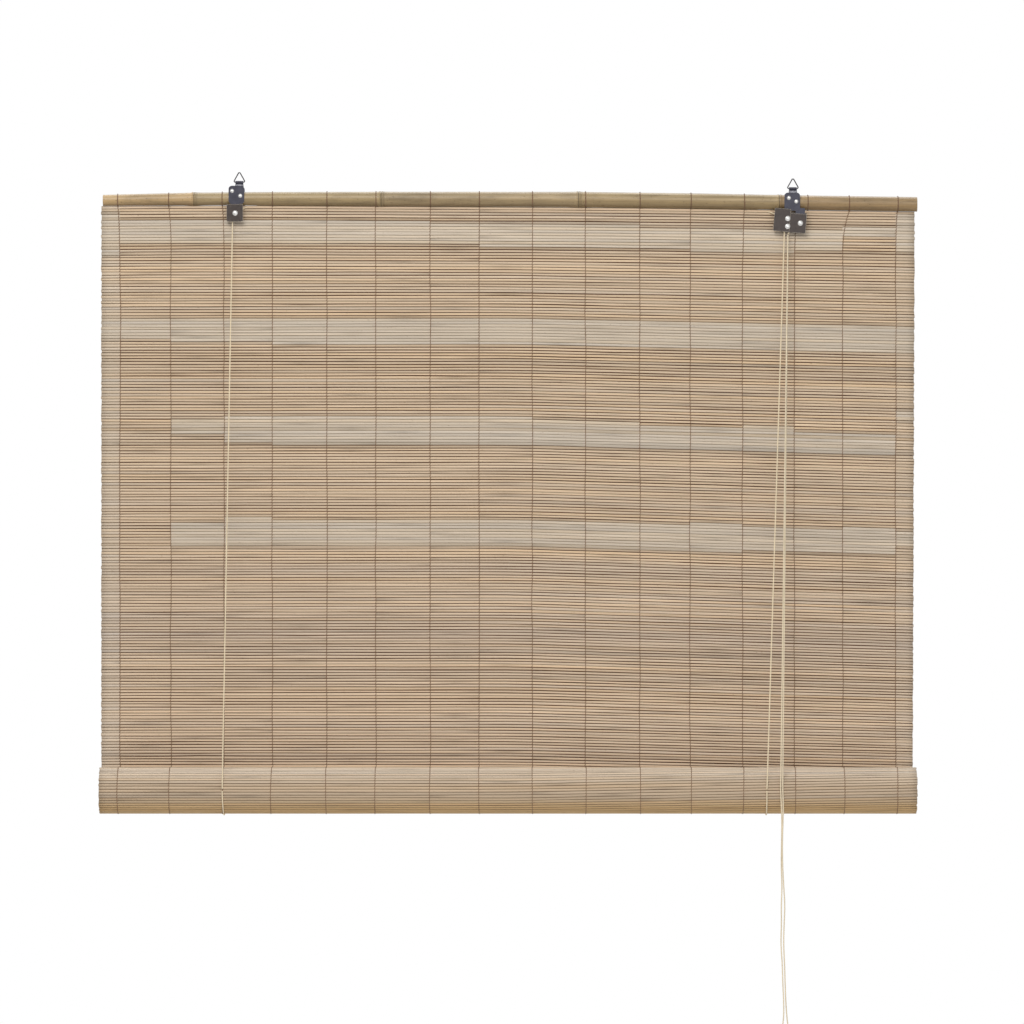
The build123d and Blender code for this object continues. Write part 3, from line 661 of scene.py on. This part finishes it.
LEFT_HEAD_RUN = [
    (-408.8, -7.855, -70.3),
    (-408.8, -7.855, -53.9),
    (-397.8, -7.555, -53.6),
    (-389.0, -1.0, -48.6),
    (-380.0, 9.5, -47.2),
    (-366.0, 13.9, -46.0),
    (356.0, 13.9, -51.0),
    (370.0, 9.0, -53.4),
    (379.0, 0.5, -54.6),
    (386.0, -5.6, -57.4),
    (395.0, -7.192, -61.0),
    (413.9, -7.192, -61.0),
    (413.9, -7.192, -80.0),
    (409.6, -7.192, -88.4),
]


def lift_cords(material):
    """Front runs, back runs, slings and the anchor knots."""
    for side in ("left", "right"):
        for part in ("front", "back"):
            node = f"{side}_cord_{part}_run"
            top, foot = run_ends(node)
            points = [tuple(top + (foot - top) * s) for s in (0, 0.03, 0.5, 0.97, 1)]
            run, _ = laid_cord(f"{side}_lift_cord_{part}", points, material, "head", node)
            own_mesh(run)
        sling_cord(side, material)
        anchor_knot(side, material)


def run_ends(node):
    """Middle of the top and of the foot of a straight cord's CAD solid."""
    points = np.array([v.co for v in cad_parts[node].data.vertices])
    top = points[points[:, 2] > points[:, 2].max() - 1.2 * MM].mean(0)
    foot = points[points[:, 2] < points[:, 2].min() + 1.2 * MM].mean(0)
    return top, foot


def sling_cord(side, material):
    """The cord's half turn under the roll, from its front run to its back run."""
    _, front = run_ends(f"{side}_cord_front_run")
    _, back = run_ends(f"{side}_cord_back_run")
    radius = ROLL_RADIUS + SLING_CLEARANCE + CORD_RADIUS
    points = []
    steps = 30
    for k in range(steps + 1):
        share = k / steps
        angle = math.pi + math.pi * share
        points.append((
            front[0] + (back[0] - front[0]) * share,
            ROLL_Y + radius * math.cos(angle),
            ROLL_Z + radius * math.sin(angle),
        ))
    line = evenly(np.array(points), CORD_STEP)
    piece = mesh_object(f"{side}_lift_cord_sling", [cord_tube(line)], material, "slings")
    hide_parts(f"{side}_cord_sling")


def anchor_knot(side, material):
    """The knot that holds the cord's end in the strap's back leaf, and the bend below it."""
    _, high = node_box(f"{side}_cord_knot")
    top, _ = run_ends(f"{side}_cord_back_run")
    hole_z = high[2] - 2.2 * MM
    knot_y = high[1] - 2.2 * MM
    route = [
        (top[0], knot_y + 0.5 * MM, hole_z),
        (top[0], knot_y - 3 * MM, hole_z),
        (top[0], top[1] + 0.3 * MM, hole_z - 0.6 * MM),
        (top[0], top[1], hole_z - 3 * MM),
        tuple(top),
    ]
    bend = tube(evenly(spline_line(route), 0.8 * MM), CORD_RADIUS, CORD_SIDES)
    knot_line = evenly(overhand_knot((top[0], knot_y, hole_z), 2.0 * MM, 1.2), 0.6 * MM)
    parts = [bend, tube(knot_line, 0.85 * MM, 8)]
    piece = mesh_object(f"{side}_anchor_knot", parts, material, "head")
    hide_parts(f"{side}_cord_knot")


def head_run(material):
    """The left cord's way over its sheave, behind the pole and through the lock."""
    route = [tuple(v * MM for v in p) for p in LEFT_HEAD_RUN]
    long_start, long_end = np.array(route[5]), np.array(route[6])
    extra = [tuple(long_start + (long_end - long_start) * s) for s in (0.02, 0.5, 0.98)]
    route[6:6] = extra
    laid_cord("left_lift_cord_behind_pole", route, material, "head", "left_cord_head_run")


# ---------------------------------------------------------------- mat
def pole_underside(x):
    return np.interp(x, CULM[:, 0], CULM[:, 1] - CULM[:, 2])


SPIRAL_STEP = 3.8 * MM
SPIRAL_START = ROLL_RADIUS - 1.1 * MM
SPIRAL_TURNS = 6.8
ROUND_SHARE = 0.35         # of the first turn, which is a plain arc before the spiral begins


def spiral_reach_at(angle):
    return SPIRAL_START - SPIRAL_STEP * np.clip(angle / TAU - ROUND_SHARE, 0, None)


spiral_angle = np.linspace(0, SPIRAL_TURNS * TAU, 4000)
spiral_reach = spiral_reach_at(spiral_angle)
spiral_steps = (spiral_reach[1:] + spiral_reach[:-1]) / 2 * np.diff(spiral_angle)
spiral_run = np.concatenate([[0], np.cumsum(spiral_steps)])


def mat_place(run):
    """Place of the mat's middle surface at a distance past the roll's back; negative is above it.

    Returns y, z and the angle through which the mat has turned.
    """
    angle = np.interp(run, spiral_run, spiral_angle, left=0.0)
    reach = spiral_reach_at(angle)
    hangs = run < 0
    y = np.where(hangs, 0.0, ROLL_Y + reach * np.cos(angle))
    z = np.where(hangs, ROLL_Z - run, ROLL_Z - reach * np.sin(angle))
    return y, z, angle


MAT_TOP = pole_underside(MAT_LEFT) - FIRST_GAP
MAT_RUN = MAT_TOP - ROLL_Z                 # from the mat's top left corner down to the roll's back
FOLLOW_DEPTH = 0.20                        # how deep the slats still follow the pole's line
SAG_DEPTHS = [0.0, 0.085, 0.16, 0.31, 0.46, 0.60, 0.75, 0.83, 0.95]
SAG_AMOUNTS = [0.0, 10.5, 12.0, 14.5, 17.0, 17.5, 15.5, 12.5, 10.0]


def sag(x, depth):
    """How far a slat at that depth hangs below the level of its left end."""
    fall = np.interp(depth, SAG_DEPTHS, np.array(SAG_AMOUNTS) * MM)
    across = np.clip((x + 0.03) / 0.564, 0, None)
    slope = np.where(across < 0.15, across ** 2 / 0.3, across - 0.075)
    pole = pole_underside(MAT_LEFT) - pole_underside(x)
    follow = np.clip(1 - depth / FOLLOW_DEPTH, 0, 1) ** 1.5
    return follow * pole + (1 - follow) * fall * slope


def column_stations(per_column):
    """Places along a slat: each string's two sides, and evenly between them."""
    edges = [MAT_LEFT, *STRING_XS, MAT_RIGHT]
    gap = 0.35 * MM
    stations = []
    for left, right in zip(edges, edges[1:]):
        stations += list(np.linspace(left + gap, right - gap, per_column))
    stations[0], stations[-1] = MAT_LEFT, MAT_RIGHT
    return np.array(stations)


# Pale bands: first and last slat, then how many slats later the band starts and ends in each of the
# 17 columns between the strings. A column whose band would end before it starts has none.
NO_BAND = 50
BANDS = [
    (5, 12, [-2, 0, 0, 0, 0, 0, 0, 1, 1, 1, 1, 2, 2, 2, 2, 1, -4],
     [4, 0, 0, 0, 0, 0, 0, 0, 1, 1, 1, 1, 2, 2, 1, -4, 1]),
    (39, 47, [0] * 17, [-2, -2, -1, -1, 0, 0, 0, 0, 0, 0, 0, 0, 0, 0, 0, 0, 0]),
    (73, 82, [NO_BAND, NO_BAND, 1, 0, 0, 0, 0, 0, 0, 1, 1, 2, 2, 1, 3, 3, -5],
     [0, 0, -4, -1, 0, 0, 0, 0, 0, 0, 0, 0, 0, 0, 0, 0, -12]),
    (109, 117, [NO_BAND, NO_BAND, 1, -1, 0, 0, 0, 0, 0, 0, 0, 0, -1, 0, 0, -1, 0],
     [0, 0, 0, 0, 0, 0, 0, 0, 0, 0, 0, 0, 0, -1, -1, -1, -4]),
]
BORDER_SHADE = 0.80        # of the slat on each side of a band
LEFT_MARGIN_PALE = 0.55    # how far the margins outside the strings go towards the pale tone
RIGHT_MARGIN_PALE = 0.25


def pale_share(numbers, column):
    """1 in a pale band and 0 out of it, for each slat and place, and the shade of the bands' borders."""
    pale = np.zeros((len(numbers), len(column)))
    shade = np.ones_like(pale)
    for first, last, starts, ends in BANDS:
        start = (first + np.array(starts))[column][None, :]
        end = (last + np.array(ends))[column][None, :]
        real = end >= start
        slat = numbers[:, None]
        pale = np.maximum(pale, (slat >= start) & (slat <= end) & real)
        shade = np.where(((slat == start - 1) | (slat == end + 1)) & real, BORDER_SHADE, shade)
    right = np.where(column == len(STRING_XS), RIGHT_MARGIN_PALE, 0.0)
    margin = np.where(column == 0, LEFT_MARGIN_PALE, right)
    return np.maximum(pale, margin[None, :]), shade


SLAT_TONE = srgb(213, 189, 162)
PALE_TONE = srgb(208, 193, 175)
# Colour of the chamfers between slats: partly the slats' own dark edges, partly painted shade standing in for
# the gap between them
EDGE_AND_GAP_SHADE_TONE = srgb(120, 80, 44)
PALE_EDGE_AND_GAP_SHADE_TONE = srgb(184, 162, 135)
FACE_TIP = 0.004 * MM      # from a slat's tip to the boundary it shares with the next slat
LINE_HALF = 0.62 * MM      # half the height of the dark line between two slats
PALE_LINE_HALF = 0.42 * MM
# Slow change of the mat's tint from its top to the roll, by slat number: greyer from slat 140 to 156, and
# lighter over the last slats, a painted light that lifts the shade the roll casts on them
TINT_SLATS = [0, 60, 120, 140, 144, 152, 156, 176, 200]
TINT_RED = [1.0, 1.0, 1.0, 1.0, 0.93, 0.94, 1.0, 1.03, 1.06]
TINT_GREEN = [1.0, 1.0, 1.0, 1.0, 0.95, 0.96, 1.0, 1.03, 1.06]
TINT_BLUE = [0.98, 0.98, 0.99, 1.0, 0.99, 1.0, 1.0, 1.03, 1.06]


def slat_tones(rows, xs):
    """Colour of each slat along x: its own tint, and slow changes along it."""
    light = 1 + smooth_noise(rows, xs, 0.12, 0.030) + rng.normal(0, 0.040, (rows, 1))
    odd = rng.random((rows, 1))
    light = np.where(odd < 0.05, light * 0.86, light)
    warm = smooth_noise(rows, xs, 0.35, 0.015) + rng.normal(0, 0.016, (rows, 1))
    tint = np.stack([1 + warm, 1 + 0.15 * warm, 1 - 1.3 * warm], -1)
    return light[..., None] * tint


def joint_marks(rows, xs):
    """Dark share at the bamboo's joints, one every 24 to 42 cm along each slat."""
    marks = np.zeros((rows, len(xs)))
    for row in marks:
        at = MAT_LEFT + rng.uniform(0.02, 0.3)
        while at < MAT_RIGHT:
            row[np.argmin(abs(xs - at))] = rng.uniform(0.2, 0.9)
            at += rng.uniform(0.24, 0.42)
    return marks


def boundaries(count, xs):
    """How far the edges that neighbouring slats share wander from their even places."""
    wave = smooth_noise(count + 1, xs, 0.075, 0.15 * MM) + smooth_noise(count + 1, xs, 0.22, 0.13 * MM)
    half = LINE_HALF * (1 + smooth_noise(count + 1, xs, 0.10, 0.15) + rng.normal(0, 0.12, (count + 1, 1)))
    return wave, np.clip(half, 0.35 * MM, 1.05 * MM)


def slat_rows(first, count, xs, edges, name, body, material, roll=False):
    """Slats number first to first + count as one piece; edges are their shared boundaries."""
    numbers = np.arange(first, first + count)
    lines = np.arange(first, first + count + 1)[:, None] * PITCH
    wave, line_half = edges
    calm = np.clip(lines / (4 * PITCH), 0, 1)
    bounds = lines - MAT_RUN + sag(xs[None, :], lines) + wave * calm
    run, half = (bounds[1:] + bounds[:-1]) / 2, (bounds[1:] - bounds[:-1]) / 2
    y, z, angle = mat_place(run)
    lift = smooth_noise(count, xs, 0.09, 0.12 * MM) * (0.4 if roll else 1.0)
    front = np.stack([np.zeros_like(angle), -np.cos(angle), np.sin(angle)], -1)
    up = np.stack([np.zeros_like(angle), np.sin(angle), np.cos(angle)], -1)
    x = np.broadcast_to(xs, angle.shape).copy()
    x[:, 0] += rng.uniform(0, END_TRIM, count)
    x[:, -1] -= rng.uniform(0, END_TRIM, count) + (0 if roll else RIGHT_TAPER * numbers * PITCH)
    middle = np.stack([x, y, z], -1) + front * lift[..., None]
    column = np.clip(np.searchsorted(STRING_XS, xs), 0, len(STRING_XS))
    pale, shade = pale_share(numbers, column)
    if roll:
        pale, shade = np.zeros_like(pale), np.ones_like(pale)
    thin = 1 - pale * (1 - PALE_LINE_HALF / LINE_HALF)
    top, foot = half - line_half[:-1] * thin, line_half[1:] * thin - half
    tip = half - FACE_TIP
    h, chamfer = HALF_THICK, 0.06 * MM
    level = np.zeros_like(half)
    section = [
        (h, level),
        (h, top),
        (h - chamfer, top + chamfer),
        (0.0, tip),
        (-0.9 * h, top),
        (-h, level),
        (-0.9 * h, foot),
        (0.0, -tip),
        (h - chamfer, foot - chamfer),
        (h, foot),
    ]
    points = np.stack([middle + front * n + up * u[..., None] for n, u in section], 2)
    skin = SLAT_TONE * (1 - pale[..., None]) + PALE_TONE * pale[..., None]
    # The roll's skin carries painted light on its top and painted shade under it
    if roll:
        skin = roll_tones_with_painted_light(angle)
    # The chamfers: the slats' dark edges and painted shade in the gap between slats
    gap = EDGE_AND_GAP_SHADE_TONE * (1 - pale[..., None]) + PALE_EDGE_AND_GAP_SHADE_TONE * pale[..., None]
    marks = joint_marks(count, xs)[..., None]
    skin = skin * slat_tones(count, xs) * (1 - 0.28 * marks) * shade[..., None]
    if not roll:
        # Slat-number tints, with painted light over the last slats above the roll
        tints = [np.interp(numbers, TINT_SLATS, t) for t in (TINT_RED, TINT_GREEN, TINT_BLUE)]
        skin = skin * np.stack(tints, -1)[:, None, :]
    gap = gap * (0.8 + 0.4 * rng.random((count, 1, 1))) * shade[..., None]
    # Painted shade, darker still at the chamfers' tips deep in the gap
    deep_edge_and_gap_shade = gap * 0.6
    tones = np.stack([skin, skin, gap, deep_edge_and_gap_shade, skin, skin, skin, deep_edge_and_gap_shade, gap, skin], 2)
    sides = len(section)
    quads, fans = ring_quads(len(xs), sides), end_fans(len(xs), sides)
    size = len(xs) * sides
    offsets = np.arange(count)[:, None, None] * size
    part = (points.reshape(-1, 3), (quads[None] + offsets).reshape(-1, 4),
            (fans[None] + offsets).reshape(-1, 3), tones.reshape(-1, 3))
    return mesh_object(name, [part], material, body)


def roll_tones_with_painted_light(angle):
    """Painted light and shade: paler on top of the roll, where the light falls, and a darker golden in
    painted shade under it.
    """
    # high is the painted light on the roll's top, low the painted shade under it
    high = np.clip(-np.sin(angle) * 1.4 - 0.3, 0, 1)[..., None]
    low = np.clip((np.sin(angle) - 0.25) / 0.5, 0, 1)[..., None]
    return srgb(197, 175, 149) * (1 - high - low) + srgb(226, 209, 188) * high + srgb(196, 163, 117) * low


def make_mat(material, roll_material):
    """Hanging slats in four pieces, and the slats of the roll."""
    xs = column_stations(3)
    hanging = int(MAT_RUN / PITCH)
    groups = 4
    wave, line_half = boundaries(hanging, xs)
    cuts = np.linspace(0, hanging, groups + 1).astype(int)
    for k, (first, last) in enumerate(zip(cuts, cuts[1:]), 1):
        edges = wave[first:last + 1], line_half[first:last + 1]
        piece = slat_rows(first, last - first, xs, edges, f"hanging_slats_{k}", "head", material)
        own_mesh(piece)
        if k == 1:
            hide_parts("hanging_slats")
    outer = int(1.2 * TAU * SPIRAL_START / PITCH)
    turned = slat_rows(hanging, outer, xs, boundaries(outer, xs), "roll_slats_outer", "roll", roll_material,
                       True)
    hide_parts("rolled_mat")
    rest = int((spiral_run[-1] - outer * PITCH) / PITCH) - 3
    few = np.unique(np.concatenate([xs[::8], [MAT_LEFT + 0.02, MAT_RIGHT - 0.02, MAT_RIGHT]]))
    slat_rows(hanging + outer, rest, few, boundaries(rest, few), "roll_slats_inner", "roll", roll_material,
              True)


# ---------------------------------------------------------------- strings
STITCH_POINTS = 4
STRING_OVERLAP = 1.5       # slats above the roll's back where the roll's strings take over
# How far right of its run each string starts at the pole, and the depth over which it comes back
STRING_LEAN = np.array([-3.5, -3.5, -3.0, 0, 0, 0, 0, 0, 0, 0, 0, 1.0, 2.5, 6.5, 9.5, 3.0]) * MM
LEAN_DEPTH = 0.027


def string_lean(i, depth):
    return STRING_LEAN[i] * np.exp(-np.clip(depth, 0, None) / LEAN_DEPTH)


def string_parts(i, first, last, reach, swing):
    """The two threads that twist round each other between the slats."""
    x = STRING_XS[i]
    t = np.arange(first, last, 1 / STITCH_POINTS)
    depth = t * PITCH
    run = depth - MAT_RUN + sag(np.full_like(depth, x), depth)
    y, z, angle = mat_place(run)
    front = np.stack([np.zeros_like(angle), -np.cos(angle), np.sin(angle)], -1)
    middle = np.stack([np.full_like(y, x), y, z], -1)
    sway = smooth_noise(1, np.clip(t * 0.004 - 0.5, MAT_LEFT, MAT_RIGHT), 0.05, 0.45 * MM)[0]
    middle[:, 0] += sway + string_lean(i, depth)
    parts = []
    for way in (1, -1):
        turn = math.pi * t
        out = np.sin(turn)
        out = np.sign(out) * abs(out) ** 0.7 * reach * way
        over = np.cos(turn) * swing * way
        line = middle + front * out[:, None] + np.array([1.0, 0, 0]) * over[:, None]
        parts.append(tube(line, THREAD, 5, across=np.array([1.0, 0.0, 0.0])))
    return parts


def make_strings(material):
    """The strings of the hanging mat, and those round the outer turn of the roll."""
    hanging = MAT_RUN / PITCH
    for i, x in enumerate(STRING_XS, 1):
        start = -FIRST_GAP / PITCH
        parts = string_parts(i - 1, start, hanging - STRING_OVERLAP, HALF_THICK + THREAD, 0.55 * MM)
        piece = mesh_object(f"twined_string_{i:02d}", parts, material, "head")
        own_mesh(piece)
        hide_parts(f"warp_string_{i:02d}")
    turns = int(1.15 * TAU * SPIRAL_START / PITCH)
    parts = []
    for i in range(len(STRING_XS)):
        first = hanging - STRING_OVERLAP
        parts += string_parts(i, first, hanging + turns, HALF_THICK + 0.2 * MM, 0.48 * MM)
    mesh_object("roll_strings", parts, material, "roll")


LASHING_THREAD = 0.38 * MM


def make_lashings(material):
    """The strings' turns round the pole, each a twisted pair."""
    strap = node_box("right_hanger_strap")
    parts = []
    for x, lean in zip(STRING_XS, STRING_LEAN):
        x += lean
        if strap[0][0] - 1 * MM < x < strap[1][0] + 1 * MM:
            x = strap[1][0] + 4.4 * MM
        z = np.interp(x, CULM[:, 0], CULM[:, 1])
        radius = np.interp(x, CULM[:, 0], CULM[:, 2]) + LASHING_THREAD + 0.05 * MM
        steps = 84
        angle = np.linspace(-math.pi / 2, 1.5 * math.pi, steps)
        for way in (1, -1):
            twist = angle * 10
            around = radius + 0.2 * MM * (1 + way * np.cos(twist))
            line = np.stack([
                x + way * 0.36 * MM * np.sin(twist) + 0.4 * MM * np.sin(angle / 2),
                around * np.cos(angle),
                z + around * np.sin(angle),
            ], -1)
            parts.append(tube(line, LASHING_THREAD, 6, across=np.array([1.0, 0.0, 0.0])))
    piece = mesh_object("string_lashings", parts, material, "head")
    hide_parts("pole_lashings")


# ---------------------------------------------------------------- head pole
def culm_radius(x):
    """Plain radius of the pole with the swelling and the two ridges of each node."""
    radius = np.interp(x, CULM[:, 0], CULM[:, 2])
    for node in CULM_NODES:
        d = (x - node) / MM
        swelling = 0.35 * np.exp(-((d / 9) ** 2))
        left_ridge = 0.75 * np.exp(-(((d + 1.6) / 0.9) ** 2))
        right_ridge = 0.60 * np.exp(-(((d - 1.7) / 1.1) ** 2))
        groove = 0.15 * np.exp(-((d / 0.8) ** 2))
        radius = radius + MM * (swelling + left_ridge + right_ridge - groove)
    return radius


def culm_tones(x, turn):
    """Skin colour: internodes differ a little, nodes are ringed dark and pale; the underside is darkened in
    painted shade and the top lightened and cooled in a painted highlight.
    """
    internode = np.searchsorted(CULM_NODES, x)
    tints = np.array([srgb(190, 160, 116), srgb(167, 145, 106), srgb(165, 143, 107), srgb(164, 141, 102),
                      srgb(164, 136, 97)])
    tone = tints[internode][:, None] * np.ones((1, len(turn), 1))
    # Painted shade under the pole and a painted highlight on its top, from where the light falls
    painted_shade_under = np.clip(-np.sin(turn), 0, 1)[None, :, None]
    upper = np.clip(np.sin(turn), 0, 1)[None, :, None]
    tone = tone * (1 - 0.34 * painted_shade_under) * (1 + upper * np.array([0.05, 0.14, 0.34]))
    for node in CULM_NODES:
        d = ((x - node) / MM)[:, None, None]
        tone = tone * (1 - 0.55 * np.exp(-((d / 0.9) ** 2)) - 0.25 * np.exp(-(((d - 3.6) / 1.6) ** 2)))
        tone = tone * (1 + 0.12 * np.exp(-(((d + 4) / 2.5) ** 2)))
    return tone


NODE_STEPS = (-6, -4, -3, -2.4, -1.8, -1.2, -0.6, 0, 0.6, 1.2, 1.8, 2.4, 3.2, 4.5, 6.5)


def make_pole(material):
    xs = list(np.linspace(CULM[0, 0], CULM[-1, 0], 181))
    for node in CULM_NODES:
        xs += [node + d * MM for d in NODE_STEPS]
    xs = np.unique(np.round(xs, 6))
    sides = 56
    turn = np.arange(sides) * TAU / sides
    radius = culm_radius(xs)[:, None] * (1 + 0.012 * np.cos(2 * turn + 0.7)[None, :])
    wander = smooth_noise(1, xs, 0.06, 0.07 * MM)[0]
    radius = radius + wander[:, None] * np.cos(turn * 2 + xs[:, None] * 9)
    z = np.interp(xs, CULM[:, 0], CULM[:, 1])
    points = np.stack([
        xs[:, None] * np.ones(sides),
        radius * np.cos(turn)[None, :],
        z[:, None] + radius * np.sin(turn)[None, :],
    ], -1)
    skin = (points.reshape(-1, 3), ring_quads(len(xs), sides), [], culm_tones(xs, turn).reshape(-1, 3))
    parts = [skin]
    for end, node, inward in ((0, CULM_NODES[0], 1), (-1, CULM_NODES[-1], -1)):
        parts.append(culm_mouth(points[end], z[end], node - inward * SEPTUM, inward, turn))
    piece = mesh_object("bamboo_pole", parts, material, "head")
    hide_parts("head_pole")


def culm_mouth(rim, z, wall_x, inward, turn):
    """The cut end: a sawn ring, the hollow inside and the wall at the next node."""
    x = rim[0, 0]
    centre = np.array([x, 0.0, z])
    out = unit(rim - centre)
    size = np.linalg.norm(rim - centre, axis=1)[:, None]
    rings = [rim]
    for step_in, step_x in ((0.25 * MM, 0.0), (CULM_WALL, 0.0), (CULM_WALL + 0.4 * MM, 0.6 * MM)):
        ring = centre + out * (size - step_in)
        ring[:, 0] = x + inward * step_x
        rings.append(ring)
    deep = np.stack([np.full(len(turn), wall_x), (size[:, 0] - CULM_WALL - 0.5 * MM) * np.cos(turn),
                     z_at(wall_x) + (size[:, 0] - CULM_WALL - 0.5 * MM) * np.sin(turn)], -1)
    rings.append(deep)
    rings.append(np.stack([np.full(len(turn), wall_x), 0.3 * MM * np.cos(turn),
                           z_at(wall_x) + 0.3 * MM * np.sin(turn)], -1))
    points = np.concatenate(rings)
    quads = ring_quads(len(rings), len(turn))
    if inward > 0:
        quads = quads[:, ::-1]
    sawn, hollow = srgb(206, 184, 146), srgb(196, 176, 138)
    # The two deepest rings, down in the hollow and on the node's wall, are darkened in painted shade
    ring_tones = (sawn * 0.8, sawn, sawn, hollow, hollow * 0.6, hollow * 0.6)
    tones = np.concatenate([np.tile(tone, (len(turn), 1)) for tone in ring_tones])
    return points, quads, [], tones


def z_at(x):
    return float(np.interp(x, CULM[:, 0], CULM[:, 1]))


# ---------------------------------------------------------------- hardware
def finish_nodes(materials):
    """Gives each shown CAD node its finish."""
    for finish, names in materials.items():
        for name in names:
            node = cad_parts[name]
            node.data.materials.clear()
            node.data.materials.append(finish)


def soften(name, width):
    """A small bevel, so that edges catch the light."""
    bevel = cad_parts[name].modifiers.new("edge", "BEVEL")
    bevel.width = width
    bevel.segments = 2
    bevel.limit_method = "ANGLE"
    bevel.angle_limit = math.radians(50)
    bevel.harden_normals = True


def main():
    make_camera()
    cream = cord_material("cream_cord", srgb(238, 221, 190))
    pull = cord_material("cream_pull_cord", srgb(236, 221, 193))
    pull_cords(pull)
    coil_tie(pull)
    lift_cords(cream)
    head_run(cream)

    thread = thread_material()
    make_mat(slat_material("split_bamboo"), slat_material("rolled_bamboo"))
    make_strings(thread)
    make_lashings(thread)
    make_pole(culm_material())

    # The second colour of each finish goes into its scratches and along its edges, partly wear and partly a
    # painted highlight
    strap = painted_metal("slate_strap", srgb(66, 66, 78), srgb(128, 127, 134), 0.3 * MM)
    plate = painted_metal("brown_grey_plate", srgb(70, 62, 59), srgb(205, 194, 176), 0.7 * MM)
    nickel, wire, nylon = nickel_material(), wire_material(), nylon_material()
    lath = slat_material("lath_bamboo")
    straps = ["left_hanger_strap", "right_hanger_strap"]
    plates = ["left_pulley_case", "lock_case", "lock_cover_plate", "lock_cam"]
    rivets = ["left_strap_rivets", "right_strap_rivets", "left_axle_rivet", "lock_axle_rivet",
              "lock_cam_pin", "lock_strap_rivet"]
    finish_nodes({
        strap: straps,
        plate: plates,
        nickel: rivets,
        wire: ["left_hook_ring", "right_hook_ring"],
        nylon: ["left_sheave", "lock_sheave"],
        cream: ["right_cord_head_run"],
        lath: ["bottom_lath"],
    })
    lath_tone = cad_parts["bottom_lath"].data.color_attributes.new("tone", "FLOAT_COLOR", "POINT")
    for entry in lath_tone.data:
        entry.color = (*SLAT_TONE, 1)
    for name in plates + straps:
        soften(name, 0.14 * MM)

    make_stage()


main()
